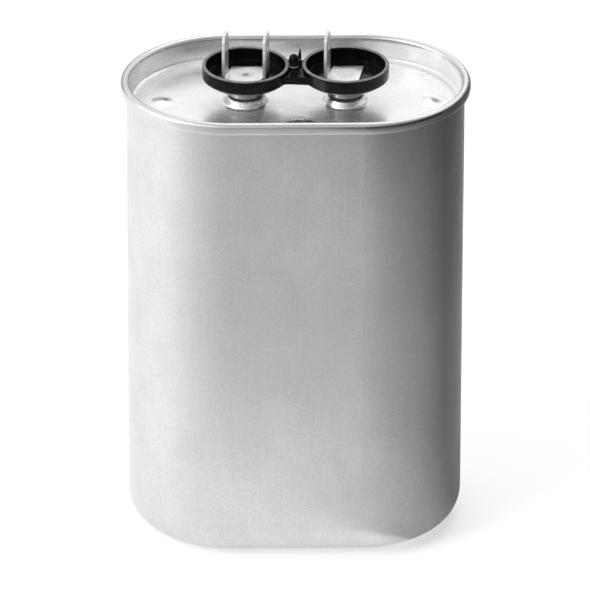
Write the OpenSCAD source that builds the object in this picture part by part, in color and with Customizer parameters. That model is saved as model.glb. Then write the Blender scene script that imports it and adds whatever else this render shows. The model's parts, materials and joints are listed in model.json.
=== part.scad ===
// Oil-filled capacitor in an oval drawn can, with a double-seamed lid and a two-cup terminal moulding.
// The origin is the middle of the can's flat base. Z points up to the terminals, X runs along the lid.

/* [Can] */
// Width over the seam
rim_w = 93; // [86:1:110]
// Depth over the seam
rim_d = 58; // [52:1:66]
// Height from the base to the top of the seam
total_h = 130; // [95:1:170]
// Wall of the drawn can
can_wall = 0.45; // [0.35:0.05:0.6]
// Outer radius of the can's lower edge
bottom_edge_r = 9; // [5:0.5:12]

/* [Lid] */
// Sheet thickness of the lid
lid_t = 0.35; // [0.25:0.05:0.45]
// Height of the double seam
seam_h = 3.2; // [2.8:0.1:4.2]
// Depth of the panel below the top of the seam
panel_depth = 6.8; // [5.5:0.1:9]
// Inner radius where the chuck wall turns into the panel
chuck_edge_r = 1.2; // [0.6:0.1:2]
// Diameter of the raised boss under each terminal
boss_d = 10.8; // [10.6:0.1:13]
// Height of a boss above the panel
boss_h = 2.1; // [1.8:0.1:3.5]
// Radius of the fillet at a boss's foot
boss_foot_r = 0.9; // [0.5:0.1:1.1]
// Radius of a boss's upper edge
boss_edge_r = 0.7; // [0.5:0.1:0.9]
// Width of a pip pressed up from the panel
pip_d = 6; // [4:0.2:7]
// Width of a pip's blunt tip
pip_tip_d = 0.8; // [0.4:0.1:2]
// Height of a pip
pip_h = 0.9; // [0.5:0.1:1.2]
// Distance of a pip's middle from the end of the rim
pip_inset = 11.1; // [9:0.1:13]

/* [Fill hole] */
// Diameter of the oil fill hole
fill_hole_d = 3; // [2:0.1:4]
// Diameter of the solder dome that closes it
fill_dome_d = 7.6; // [6:0.2:9]
// Height of the solder dome
fill_dome_h = 0.9; // [0.7:0.1:1.6]
// Distance of the fill hole in front of the lid's long axis
fill_front = 13.5; // [11:0.5:15]
// Distance of the fill hole to the right of the lid's middle
fill_side = 1; // [0:0.5:3]

/* [Terminal moulding] */
// Distance between the two terminals
terminal_gap = 26.5; // [25:0.5:32]
// Inner diameter of a terminal cup
cup_d = 21; // [18:0.5:22]
// Wall of a cup
cup_wall = 1.05; // [0.8:0.05:1.3]
// Depth of a cup above its floor
cup_depth = 3.8; // [3.2:0.1:6]
// Thickness of a cup's floor
cup_floor = 1; // [0.8:0.1:2]
// Height of the bevel under a cup's rim
cup_bevel_h = 1.2; // [0.8:0.1:2]
// Width of the bevel under a cup's rim
cup_bevel_w = 1.5; // [1:0.1:3]
// Diameter of the neck under a cup
neck_d = 9.5; // [9:0.1:11]
// Height of the neck under a cup
neck_h = 3.6; // [2.5:0.1:6]
// Diameter of the spigot that lines the hole in the lid
spigot_d = 4.8; // [4.5:0.1:5.4]
// Length of the spigot below the lid's boss
spigot_in = 1.2; // [0.5:0.1:1.8]
// Depth of the waist between the cups, front to back
waist_d = 11; // [8:0.2:13]
// Height of the waist
waist_h = 2.2; // [1.2:0.1:3]
// Diameter of the peg on the waist
peg_d = 2.6; // [2:0.1:2.8]
// Height of the peg above the waist
peg_h = 4.6; // [3:0.1:6]
// Distance of the peg to the left of the waist's middle
peg_side = 0.5; // [0:0.1:1]
// Distance of the peg in front of the waist's middle
peg_front = 1; // [0:0.1:3]
// Height of the gate stub above the waist
gate_h = 4.3; // [2:0.1:6]
// Width of the gate stub at its foot
gate_w = 1.5; // [1:0.1:2]
// Width of the gate stub at its tip
gate_tip = 0.3; // [0.2:0.1:0.6]
// Thickness of the gate stub
gate_t = 0.7; // [0.5:0.1:1]
// Distance of the gate stub to the right of the waist's middle
gate_side = 1; // [0.5:0.1:1.5]
// Distance of the gate stub behind the waist's middle
gate_back = 3; // [2:0.1:3.5]

/* [Terminals] */
// Width of a quick-connect tab
tab_w = 6.35; // [4.75:0.05:6.35]
// Thickness of the tabs and their base plates
tab_t = 0.8; // [0.7:0.1:0.9]
// Height of a tab above its base plate
tab_h = 11.9; // [8:0.1:14]
// Chamfer at a tab's tip
tab_chamfer = 1.5; // [0.8:0.1:2]
// Diameter of the latch hole in a tab
tab_hole_d = 1.8; // [1.4:0.1:2.2]
// Distance of the latch hole below the tip
tab_hole_drop = 4.2; // [3:0.1:5]
// Distance of the fork's bends from its rivet
fork_reach = 4.6; // [4:0.1:5.4]
// Distance of the single tab's bend from its rivet
single_reach = 4.1; // [3.6:0.1:5]
// Depth of a base plate, front to back
plate_d = 9.6; // [8:0.1:11]
// Inner radius of the bend between a plate and a tab
bend_r = 0.4; // [0.3:0.1:0.8]
// Slant of the bends and their tabs, in degrees
tab_turn = 10; // [0:1:15]
// Diameter of a terminal rivet
rivet_d = 3.2; // [2.8:0.1:3.4]
// Diameter of a rivet's countersunk head
rivet_head_d = 4.6; // [4:0.1:5]
// Height of a rivet's countersunk head
rivet_head_h = 0.6; // [0.4:0.1:0.65]
// Diameter of the dimple in a rivet's head
rivet_dimple_d = 2.3; // [1.5:0.1:2.5]
// Depth of the dimple in a rivet's head
rivet_dimple_depth = 0.8; // [0.4:0.1:1.2]

/* [Seals and inner terminals] */
// Thickness of the rubber seal under a neck
seal_t = 0.6; // [0.4:0.1:1.2]
// Diameter of the rubber seal
seal_d = 9.2; // [8:0.1:9.6]
// Diameter of the flange on an inner bushing
flange_d = 16; // [15:0.5:18]
// Thickness of that flange
flange_t = 1.2; // [0.8:0.1:2]
// Thickness of a solder lug
lug_t = 0.5; // [0.3:0.1:0.8]
// Diameter of a solder lug around its rivet
lug_d = 7.2; // [6:0.1:8]
// Reach of a solder lug's tail from its rivet
lug_reach = 9; // [8:0.5:10.5]
// Diameter of a rivet's clinched end
clinch_d = 5.6; // [4.6:0.1:6.4]
// Thickness of a rivet's clinched end
clinch_t = 0.6; // [0.4:0.1:1]
// Width of a lead strip and of the lug's tail that it is soldered to
lead_w = 4; // [3:0.2:5]
// Thickness of a lead strip
lead_t = 0.3; // [0.2:0.05:0.5]
// Length of a lead's soldered foot
lead_foot = 4; // [3:0.2:4.6]

/* [Winding] */
// Free height between the winding's upper end and the lid's panel
headspace = 16; // [13:0.5:24]
// Wall of the insulating wrap
wrap_t = 0.8; // [0.4:0.1:1.2]
// Room for a lead between the winding and the wrap
lead_room = 1.4; // [1:0.1:2]
// Height of the wrap above the winding
wrap_rise = 5; // [0:0.5:9]
// Thickness of the sprayed metal on each end of the winding
spray_t = 0.8; // [0.5:0.1:1.5]
// Bare margin of the winding around the sprayed metal
spray_margin = 0.6; // [0.3:0.1:1.5]
// Width of the pressed-flat core slot
core_slot = 1.2; // [0.6:0.1:2]
// Height of the winding's lower end above the can's bottom curve
cradle_lift = 1; // [0.5:0.1:3]
// Thickness of the upper spacer's plate and legs
spacer_t = 2; // [1.5:0.1:3]
// Width of the upper spacer's legs
spacer_leg_w = 20; // [10:1:26]

/* [Fits] */
// Room between pieces that pass through one another
slip = 0.1; // [0.05:0.01:0.15]
// Room between pieces that stand close without bearing on one another
rest_gap = 0.3; // [0.2:0.05:0.4]
// Room on each side of the lid's hook inside the can's hook
hook_room = 0.2; // [0.1:0.05:0.25]
// Room between the lid's curl and the can's curl
seam_room = 0.07; // [0.05:0.01:0.1]

/* [Hidden] */
$fn = 96;

// Overshoot of a cut past the face that it opens
over = 1;

// The seam is a set of half rings around one line: the can's curl lies inside the lid's curl
curl_in = lid_t / 2 + hook_room;
curl_out = curl_in + can_wall;
seam_r = curl_out + seam_room + lid_t;
curl_z = total_h - seam_r;
roll_r = (seam_r + lid_t / 2) / 2;
roll_z = total_h - seam_h + roll_r;
compound_h = lid_t;
lid_hook_z = curl_z - compound_h;
can_hook_z = roll_z + hook_room;

// In plan the rim has round ends of one radius, joined by two flat sides
rim_r = rim_d / 2;
flat_l = rim_w - rim_d;
curl_r = rim_r - seam_r;
can_r = curl_r - curl_in;
can_in_r = curl_r - curl_out;
can_in_edge_r = bottom_edge_r - can_wall;
chuck_r = rim_r - 2 * seam_r;

// Levels from the lid's panel up
panel_z = total_h - panel_depth;
panel_under = panel_z - lid_t;
boss_z = panel_z + boss_h;
neck_z = boss_z + seal_t;
cup_z = neck_z + neck_h;
floor_z = cup_z + cup_floor;
lip_z = floor_z + cup_depth - cup_wall / 2;
waist_z = cup_z + cup_bevel_h;
waist_top = waist_z + waist_h;
plate_z = floor_z + tab_t;
tab_top = plate_z + tab_h;

// Levels from the lid's boss down
bushing_top = boss_z - lid_t;
spigot_z = bushing_top - spigot_in;
flange_top = panel_under - rest_gap;
lug_top = flange_top - flange_t;
lead_top = lug_top - lug_t;
rivet_end = lead_top - clinch_t;

// Levels of the winding, with the sprayed metal on both ends
winding_base = bottom_edge_r + cradle_lift;
winding_top = panel_under - headspace;

// The terminals stand on the long axis
left_x = -terminal_gap / 2;
right_x = terminal_gap / 2;
cup_r = cup_d / 2;
cup_out_r = cup_r + cup_wall;
cove_h = cup_bevel_h / 2;
cove_w = cup_bevel_w / 2;
boss_r = boss_d / 2;
bushing_r = boss_r - boss_edge_r;
bore_d = rivet_d + 2 * slip;
lid_hole_d = spigot_d + 2 * slip;
tab_out = bend_r + tab_t;
plate_slant = plate_d / 2 * tan(tab_turn);

// The pips stand on the long axis too, and the solder dome is part of a ball
pip_x = rim_w / 2 - pip_inset;
dome_r = (pow(fill_dome_d / 2, 2) + pow(fill_dome_h, 2)) / (2 * fill_dome_h);

// The winding, and what lies between it and the can
wrap_out_r = can_in_r - rest_gap;
wrap_in_r = wrap_out_r - wrap_t;
winding_r = wrap_in_r - lead_room;
spray_r = winding_r - spray_margin;
cradle_r = winding_r - lead_foot - rest_gap;
lead_y = winding_r + (lead_room - lead_t) / 2;
left_lead_x = left_x - lug_reach;
leg_x = (right_x + flange_d / 2 + pip_x - pip_d / 2) / 2;

// Plan outline with two flat sides and two round ends
module oval(r) {
    square([flat_l, 2 * r], center = true);
    for (side = [-1, 1]) {
        translate([side * flat_l / 2, 0]) circle(r);
    }
}

// Carries a section around the oval. The section's x is measured from the middle of a round end.
module around() {
    for (turn = [0, 180]) {
        rotate([0, 0, turn]) {
            translate([flat_l / 2, 0, 0]) rotate([0, 0, -90]) rotate_extrude(angle = 180) children();
            translate([-flat_l / 2, 0, 0]) rotate([90, 0, 90]) linear_extrude(flat_l) children();
        }
    }
}

// One quarter of a disc, in the quadrant that the two signs name
module quarter(r, x_sign, y_sign) {
    intersection() {
        circle(r);
        translate([x_sign > 0 ? 0 : -r, y_sign > 0 ? 0 : -r]) square(r);
    }
}

// Sheet of thickness t bent through a right angle, with outer radius r
module bend(r, t, x_sign, y_sign) {
    difference() {
        quarter(r, x_sign, y_sign);
        circle(r - t);
    }
}

// Half section of a block with a rounded lower edge
module foot_section(r, h, edge) {
    square([r - edge, h]);
    translate([r - edge, edge]) square([edge, h - edge]);
    translate([r - edge, edge]) quarter(edge, 1, -1);
}

// Upper part of a ball, with height h above its flat face
module dome(r, h) {
    intersection() {
        translate([0, 0, h - r]) sphere(r);
        translate([-r, -r, 0]) cube([2 * r, 2 * r, r]);
    }
}

module can_section() {
    difference() {
        foot_section(can_r, curl_z, bottom_edge_r);
        translate([0, can_wall]) foot_section(can_in_r, curl_z, can_in_edge_r);
    }
    translate([curl_r, curl_z]) {
        bend(curl_out, can_wall, -1, 1);
        bend(curl_out, can_wall, 1, 1);
    }
    translate([curl_r + curl_in, can_hook_z]) square([can_wall, curl_z - can_hook_z]);
}

module can() {
    color("gainsboro") around() can_section();
}

module lid_section() {
    // Curl over the top, seam wall, lower roll and hook
    translate([curl_r, curl_z]) {
        bend(seam_r, lid_t, -1, 1);
        bend(seam_r, lid_t, 1, 1);
    }
    translate([rim_r - lid_t, roll_z]) square([lid_t, curl_z - roll_z]);
    translate([rim_r - roll_r, roll_z]) {
        bend(roll_r, lid_t, -1, -1);
        bend(roll_r, lid_t, 1, -1);
    }
    translate([rim_r - 2 * roll_r, roll_z]) square([lid_t, lid_hook_z - roll_z]);
    // Chuck wall, its lower bend and the panel
    translate([chuck_r, panel_z + chuck_edge_r]) square([lid_t, curl_z - panel_z - chuck_edge_r]);
    translate([chuck_r - chuck_edge_r, panel_z + chuck_edge_r]) bend(chuck_edge_r + lid_t, lid_t, 1, -1);
    translate([0, panel_under]) square([chuck_r - chuck_edge_r, lid_t]);
}

// Sheet drawn up into a boss: foot fillet, wall, rounded edge and flat top with its hole
module boss_section() {
    translate([boss_r + boss_foot_r, panel_z + boss_foot_r]) bend(boss_foot_r + lid_t, lid_t, -1, -1);
    translate([boss_r - lid_t, panel_z + boss_foot_r]) square([lid_t, boss_h - boss_foot_r - boss_edge_r]);
    translate([bushing_r, boss_z - boss_edge_r]) bend(boss_edge_r, lid_t, 1, 1);
    translate([lid_hole_d / 2, bushing_top]) square([bushing_r - lid_hole_d / 2, lid_t]);
}

// Blunt cone that the sheet is pressed over
module pip() {
    cylinder(d1 = pip_d, d2 = pip_tip_d, h = pip_h);
}

module lid() {
    color("whitesmoke") {
        difference() {
            union() {
                around() lid_section();
                for (x = [-pip_x, pip_x]) {
                    translate([x, 0, panel_z]) pip();
                }
            }
            for (x = [-pip_x, pip_x]) {
                translate([x, 0, panel_under]) pip();
                translate([x, 0, panel_under - over]) cylinder(d = pip_d, h = over);
            }
            for (x = [left_x, right_x]) {
                translate([x, 0, panel_under - over])
                    cylinder(r = boss_r + boss_foot_r, h = lid_t + 2 * over);
            }
            translate([fill_side, -fill_front, panel_under - over])
                cylinder(d = fill_hole_d, h = lid_t + 2 * over);
        }
        for (x = [left_x, right_x]) {
            translate([x, 0, 0]) rotate_extrude() boss_section();
        }
    }
}

// Lining that fills the seam above the lid's hook
module seam_compound() {
    color("tan") around() translate([curl_r - lid_t / 2, lid_hook_z]) square([lid_t, compound_h]);
}

module fill_plug() {
    color("silver") translate([fill_side, -fill_front, panel_z]) {
        dome(dome_r, fill_dome_h);
        translate([0, 0, -lid_t]) cylinder(d = fill_hole_d - 2 * slip, h = lid_t);
    }
}

// Spigot, neck, floor, wall and round lip of a cup, around the rivet's bore
module cup_section() {
    difference() {
        union() {
            translate([0, spigot_z]) square([spigot_d / 2, neck_z - spigot_z]);
            translate([0, neck_z]) square([neck_d / 2, neck_h]);
            polygon([
                [0, cup_z], [cup_out_r - cup_bevel_w, cup_z], [cup_out_r, waist_z],
                [cup_out_r, lip_z], [cup_r, lip_z],
                [cup_r, floor_z + cove_h], [cup_r - cove_w, floor_z], [0, floor_z]
            ]);
            translate([cup_r + cup_wall / 2, lip_z]) {
                quarter(cup_wall / 2, -1, 1);
                quarter(cup_wall / 2, 1, 1);
            }
        }
        translate([0, spigot_z - over]) square([bore_d / 2, floor_z - spigot_z + 2 * over]);
    }
}

module peg() {
    rotate_extrude() {
        square([peg_d / 2, peg_h - peg_d / 2]);
        translate([0, peg_h - peg_d / 2]) quarter(peg_d / 2, 1, 1);
    }
}

// Pointed stub left where the moulding's gate was broken off
module gate_stub() {
    translate([0, gate_t / 2, 0]) rotate([90, 0, 0]) linear_extrude(gate_t)
        polygon([[-gate_w / 2, 0], [gate_w / 2, 0], [gate_tip / 2, gate_h], [-gate_tip / 2, gate_h]]);
}

module terminal_bridge() {
    color("#1c1c1c") {
        for (x = [left_x, right_x]) {
            translate([x, 0, 0]) rotate_extrude() cup_section();
        }
        difference() {
            translate([left_x, -waist_d / 2, waist_z]) cube([terminal_gap, waist_d, waist_h]);
            for (x = [left_x, right_x]) {
                translate([x, 0, waist_z - over]) cylinder(r = cup_r + cup_wall / 2, h = waist_h + 2 * over);
            }
        }
        translate([-peg_side, -peg_front, waist_top]) peg();
        translate([gate_side, gate_back, waist_top]) gate_stub();
    }
}

// Upright tab whose bend starts at x = 0, with a root in the plate, a chamfered tip and a latch hole
module tab() {
    difference() {
        intersection() {
            translate([0, tab_w / 2, 0]) rotate([90, 0, 0]) linear_extrude(tab_w) {
                translate([-over, floor_z]) square([over, tab_t]);
                translate([0, plate_z + bend_r]) bend(tab_out, tab_t, 1, -1);
                translate([bend_r, plate_z + bend_r]) square([tab_t, tab_h - bend_r]);
            }
            translate([-over, 0, 0]) rotate([90, 0, 90]) linear_extrude(tab_out + 2 * over) polygon([
                [-tab_w / 2, floor_z], [tab_w / 2, floor_z],
                [tab_w / 2, tab_top - tab_chamfer], [tab_w / 2 - tab_chamfer, tab_top],
                [-tab_w / 2 + tab_chamfer, tab_top], [-tab_w / 2, tab_top - tab_chamfer]
            ]);
        }
        translate([0, 0, tab_top - tab_hole_drop]) rotate([0, 90, 0])
            cylinder(d = tab_hole_d, h = tab_out + over);
    }
}

// Base plate with a countersunk rivet hole, and slanted ends just short of the bends
module base_plate(reach) {
    end = reach - slip;
    difference() {
        translate([0, 0, floor_z]) linear_extrude(tab_t) polygon([
            [-end - plate_slant, -plate_d / 2], [end - plate_slant, -plate_d / 2],
            [end + plate_slant, plate_d / 2], [-end + plate_slant, plate_d / 2]
        ]);
        translate([0, 0, floor_z - over]) cylinder(d = bore_d, h = tab_t + 2 * over);
        translate([0, 0, plate_z - rivet_head_h])
            cylinder(d1 = bore_d, d2 = rivet_head_d + 2 * slip, h = rivet_head_h);
    }
}

module left_fork() {
    color("lightgray") translate([left_x, 0, 0]) {
        base_plate(fork_reach);
        translate([fork_reach, 0, 0]) rotate([0, 0, -tab_turn]) tab();
        translate([-fork_reach, 0, 0]) rotate([0, 0, -tab_turn]) mirror([1, 0, 0]) tab();
    }
}

module right_tab() {
    color("lightgray") translate([right_x, 0, 0]) {
        base_plate(single_reach);
        translate([-single_reach, 0, 0]) rotate([0, 0, -tab_turn]) mirror([1, 0, 0]) tab();
    }
}

// Countersunk head with a dimple, shank, and an end clinched under the solder lug
module rivet(x) {
    color("silver") translate([x, 0, 0]) rotate_extrude() polygon([
        [0, rivet_end], [clinch_d / 2, rivet_end], [clinch_d / 2, lead_top], [rivet_d / 2, lead_top],
        [rivet_d / 2, plate_z - rivet_head_h], [rivet_head_d / 2, plate_z],
        [rivet_dimple_d / 2, plate_z], [0, plate_z - rivet_dimple_depth]
    ]);
}

module left_rivet() {
    rivet(left_x);
}

module right_rivet() {
    rivet(right_x);
}

// Rubber ring between a boss and a neck
module seal(x) {
    color("#101010") translate([x, 0, boss_z]) difference() {
        cylinder(d = seal_d, h = seal_t);
        translate([0, 0, -over]) cylinder(d = lid_hole_d, h = seal_t + 2 * over);
    }
}

module left_seal() {
    seal(left_x);
}

module right_seal() {
    seal(right_x);
}

// Insulating bushing that fills a boss from below and keeps the lug off the lid
module bushing(x) {
    color("burlywood") translate([x, 0, 0]) difference() {
        union() {
            translate([0, 0, lug_top]) cylinder(r = bushing_r, h = bushing_top - lug_top);
            translate([0, 0, lug_top]) cylinder(d = flange_d, h = flange_t);
        }
        translate([0, 0, lug_top - over]) cylinder(d = lid_hole_d, h = bushing_top - lug_top + 2 * over);
    }
}

module left_bushing() {
    bushing(left_x);
}

module right_bushing() {
    bushing(right_x);
}

// Washer with a straight tail, turned about its rivet
module lug(x, turn) {
    color("goldenrod") translate([x, 0, lead_top]) rotate([0, 0, turn]) difference() {
        union() {
            cylinder(d = lug_d, h = lug_t);
            translate([0, -lead_w / 2, 0]) cube([lug_reach, lead_w, lug_t]);
        }
        translate([0, 0, -over]) cylinder(d = bore_d, h = lug_t + 2 * over);
    }
}

module left_lug() {
    lug(left_x, 180);
}

module right_lug() {
    lug(right_x, 90);
}

// Strip from the left lug straight down to the winding's upper end
module left_lead() {
    color("peru") translate([left_lead_x, -lead_w / 2, 0]) {
        translate([0, 0, lead_top - lead_t]) cube([lead_foot, lead_w, lead_t]);
        translate([0, 0, winding_top]) cube([lead_t, lead_w, lead_top - winding_top]);
        translate([0, 0, winding_top]) cube([lead_foot, lead_w, lead_t]);
    }
}

// Strip from the right lug to the back, down beside the winding and in under its lower end
module right_lead() {
    top_start = lug_reach - lead_foot;
    base_start = winding_r - lead_foot;
    lead_end = lead_y + lead_t;
    color("peru") translate([right_x - lead_w / 2, 0, 0]) {
        translate([0, top_start, lead_top - lead_t]) cube([lead_w, lead_end - top_start, lead_t]);
        translate([0, lead_y, winding_base - lead_t])
            cube([lead_w, lead_t, lead_top - winding_base + lead_t]);
        translate([0, base_start, winding_base - lead_t]) cube([lead_w, lead_end - base_start, lead_t]);
    }
}

// Plate on the winding with two legs up to the lid, and a window for the left lead's foot
module upper_spacer() {
    color("ivory") translate([0, 0, winding_top]) {
        difference() {
            linear_extrude(spacer_t) oval(spray_r);
            translate([left_lead_x - rest_gap, -lead_w / 2 - rest_gap, -over])
                cube([lead_foot + 2 * rest_gap, lead_w + 2 * rest_gap, spacer_t + 2 * over]);
        }
        for (side = [-1, 1]) {
            translate([side * leg_x - spacer_t / 2, -spacer_leg_w / 2, 0])
                cube([spacer_t, spacer_leg_w, headspace - rest_gap]);
        }
    }
}

module upper_spray() {
    color("slategray") translate([0, 0, winding_top - spray_t]) linear_extrude(spray_t) oval(spray_r);
}

// All turns of the metallised film as one roll, pressed flat around its core slot
module winding() {
    color("lightsteelblue") translate([0, 0, winding_base + spray_t])
        linear_extrude(winding_top - winding_base - 2 * spray_t) difference() {
            oval(winding_r);
            square([flat_l, core_slot], center = true);
        }
}

module lower_spray() {
    color("slategray") translate([0, 0, winding_base]) linear_extrude(spray_t) oval(spray_r);
}

module winding_wrap() {
    color("wheat") translate([0, 0, winding_base])
        linear_extrude(winding_top + wrap_rise - winding_base) difference() {
            oval(wrap_out_r);
            oval(wrap_in_r);
        }
}

// Block on the can's bottom that carries the winding clear of the rounded edge
module lower_cradle() {
    color("ivory") around() translate([0, can_wall])
        foot_section(cradle_r, winding_base - can_wall, can_in_edge_r);
}

can();
lid();
seam_compound();
fill_plug();
terminal_bridge();
left_fork();
right_tab();
left_rivet();
right_rivet();
left_seal();
right_seal();
left_bushing();
right_bushing();
left_lug();
right_lug();
left_lead();
right_lead();
upper_spacer();
upper_spray();
winding();
lower_spray();
winding_wrap();
lower_cradle();
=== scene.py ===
# %% [markdown]
# # An oil-filled capacitor, dressed in Blender
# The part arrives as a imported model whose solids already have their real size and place.
# This lesson keeps those solids as a fixed frame, models the pieces that need softer edges
# than the solids have, and gives every surface a finish made of nodes.

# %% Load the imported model
import json
import math

import bmesh
import bpy
import numpy as np
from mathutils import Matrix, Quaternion, Vector

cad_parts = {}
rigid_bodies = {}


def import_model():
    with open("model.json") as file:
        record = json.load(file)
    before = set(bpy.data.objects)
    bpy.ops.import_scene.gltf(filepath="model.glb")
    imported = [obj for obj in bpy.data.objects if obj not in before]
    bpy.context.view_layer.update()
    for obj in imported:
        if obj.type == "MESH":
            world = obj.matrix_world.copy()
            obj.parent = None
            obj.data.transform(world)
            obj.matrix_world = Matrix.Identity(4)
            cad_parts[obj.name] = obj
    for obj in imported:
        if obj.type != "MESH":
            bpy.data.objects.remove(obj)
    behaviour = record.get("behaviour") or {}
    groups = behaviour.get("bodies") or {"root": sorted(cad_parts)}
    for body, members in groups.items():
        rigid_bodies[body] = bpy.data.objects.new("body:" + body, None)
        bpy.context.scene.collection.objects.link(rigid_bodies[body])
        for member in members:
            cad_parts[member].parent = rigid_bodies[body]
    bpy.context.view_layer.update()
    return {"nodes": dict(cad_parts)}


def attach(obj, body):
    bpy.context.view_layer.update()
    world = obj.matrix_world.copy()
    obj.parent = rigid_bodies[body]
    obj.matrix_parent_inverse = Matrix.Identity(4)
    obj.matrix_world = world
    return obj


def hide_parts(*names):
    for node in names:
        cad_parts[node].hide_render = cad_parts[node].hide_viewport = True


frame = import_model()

nodes = frame["nodes"]

# %% [markdown]
# ## The camera
# A product photo is taken from far away with a long lens, so that upright edges stay almost
# parallel. The camera below stands 2.4 m in front of the can, 26.5 degrees above it, and looks at
# a point about halfway up the can. It is also turned and rolled by a small angle, as a camera that
# is set up by hand always is.

# %% Camera
# Sensor, lens and aim are in millimetres, distances in metres and angles in radians
MM = 0.001
SENSOR = 36.0
LENS = 546.1
AIM = Vector((0, 0, 65.8)) * MM
CAMERA_DISTANCE = 2.4
CAMERA_TURN = 0.018
CAMERA_RISE = 0.463
CAMERA_ROLL = 0.003
FAR_CLIP = 20

look = Vector((
    math.sin(CAMERA_TURN) * math.cos(CAMERA_RISE),
    math.cos(CAMERA_TURN) * math.cos(CAMERA_RISE),
    -math.sin(CAMERA_RISE),
))
bpy.ops.object.camera_add(location=AIM - look * CAMERA_DISTANCE)
camera = bpy.context.object
camera.rotation_mode = "QUATERNION"
camera.rotation_quaternion = Quaternion(look, -CAMERA_ROLL) @ look.to_track_quat("-Z", "Y")
camera.data.sensor_width = SENSOR
camera.data.lens = LENS
camera.data.clip_end = FAR_CLIP
bpy.context.scene.camera = camera
bpy.context.scene.view_settings.view_transform = "Standard"
print("camera at", [round(v, 3) for v in camera.location])

# %% [markdown]
# ## Floor and light
# The can stands on a plain pale floor. One large soft lamp stands to the left, where the metal
# shows its brightest band, and a weaker one fills in from above. The world and the floor add a
# white background for camera, mirror and glass rays, and the floor still takes a shadow.


# %% Node helpers
def add_node(tree, kind, **settings):
    """Adds a node and sets its inputs or properties by name."""
    node = tree.nodes.new(kind)
    for key, value in settings.items():
        if key in node.inputs:
            node.inputs[key].default_value = value
        else:
            setattr(node, key, value)
    return node


def any_of(tree, sockets):
    """The largest of several values."""
    total = sockets[0]
    for socket in sockets[1:]:
        step = add_node(tree, "ShaderNodeMath", operation="MAXIMUM")
        tree.links.new(total, step.inputs[0])
        tree.links.new(socket, step.inputs[1])
        total = step.outputs[0]
    return total


def background_rays(tree):
    """1 for the rays that have to see a white background."""
    path = add_node(tree, "ShaderNodeLightPath")
    names = ("Is Camera Ray", "Is Glossy Ray", "Is Transmission Ray")
    return any_of(tree, [path.outputs[name] for name in names])


# %% World
AMBIENT = 0.6

world = bpy.data.worlds.new("studio")
bpy.context.scene.world = world
world.use_nodes = True
tree = world.node_tree
tree.nodes.clear()
output = add_node(tree, "ShaderNodeOutputWorld")
mix = add_node(tree, "ShaderNodeMixShader")
soft_sky = add_node(tree, "ShaderNodeBackground", Strength=AMBIENT)
white_sky = add_node(tree, "ShaderNodeBackground", Strength=1.0)
for sky in (soft_sky, white_sky):
    sky.inputs["Color"].default_value = (1, 1, 1, 1)
tree.links.new(background_rays(tree), mix.inputs["Fac"])
tree.links.new(soft_sky.outputs[0], mix.inputs[1])
tree.links.new(white_sky.outputs[0], mix.inputs[2])
tree.links.new(mix.outputs[0], output.inputs["Surface"])
print("ambient light", AMBIENT)

# %% Floor
FLOOR_SIZE = 30
FLOOR_GLOW = 0.4
PAPER = (0.8, 0.8, 0.8, 1)

bpy.ops.object.select_all(action="DESELECT")
bpy.ops.mesh.primitive_plane_add(size=FLOOR_SIZE)
floor = bpy.context.object
floor.name = "floor"
paper = bpy.data.materials.new("floor_paper")
paper.use_nodes = True
tree = paper.node_tree
tree.nodes.clear()
output = add_node(tree, "ShaderNodeOutputMaterial")
both = add_node(tree, "ShaderNodeAddShader")
matt = add_node(tree, "ShaderNodeBsdfDiffuse")
matt.inputs["Color"].default_value = PAPER
glow = add_node(tree, "ShaderNodeEmission")
strength = add_node(tree, "ShaderNodeMath", operation="MULTIPLY")
strength.inputs[1].default_value = FLOOR_GLOW
tree.links.new(background_rays(tree), strength.inputs[0])
tree.links.new(strength.outputs[0], glow.inputs["Strength"])
tree.links.new(matt.outputs[0], both.inputs[0])
tree.links.new(glow.outputs[0], both.inputs[1])
tree.links.new(both.outputs[0], output.inputs["Surface"])
floor.data.materials.append(paper)
print("floor", FLOOR_SIZE, "m wide")

# %% Lamps
# name: place, width in metres, watts
LAMPS = {
    "key_left": ((-1.1, -0.7, 1.0), 0.9, 9),
    "fill_top": ((0.3, 0.5, 1.9), 1.4, 8),
}


def soft_lamp(name, place, width, watts):
    """A round lamp that looks at the can."""
    bpy.ops.object.light_add(type="AREA", location=place)
    lamp = bpy.context.object
    lamp.name = name
    lamp.data.shape = "DISK"
    lamp.data.size = width
    lamp.data.energy = watts
    lamp.rotation_mode = "QUATERNION"
    lamp.rotation_quaternion = (AIM - lamp.location).to_track_quat("-Z", "Y")


for name, facts in LAMPS.items():
    soft_lamp(name, *facts)
print("lamps", *LAMPS)

# %% [markdown]
# ## Cards for the metal to mirror
# Metal shows what is around it, and in an all-white room it would have no shape. So a photographer
# stands cards around it. Here a folding screen runs from the front left to the back right, in rows of
# narrow cards that are darkest at the right, with a row of feet lying on the floor. The row at the
# rim's height is darkest and draws the line under the rim. Tall cards and a ceiling farther out shade
# the rolled edge, a short row behind the can draws the lid's far edge, and a bright board at the left
# gives the lid's rounded metal its highlights. Only reflections can see them.


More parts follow.
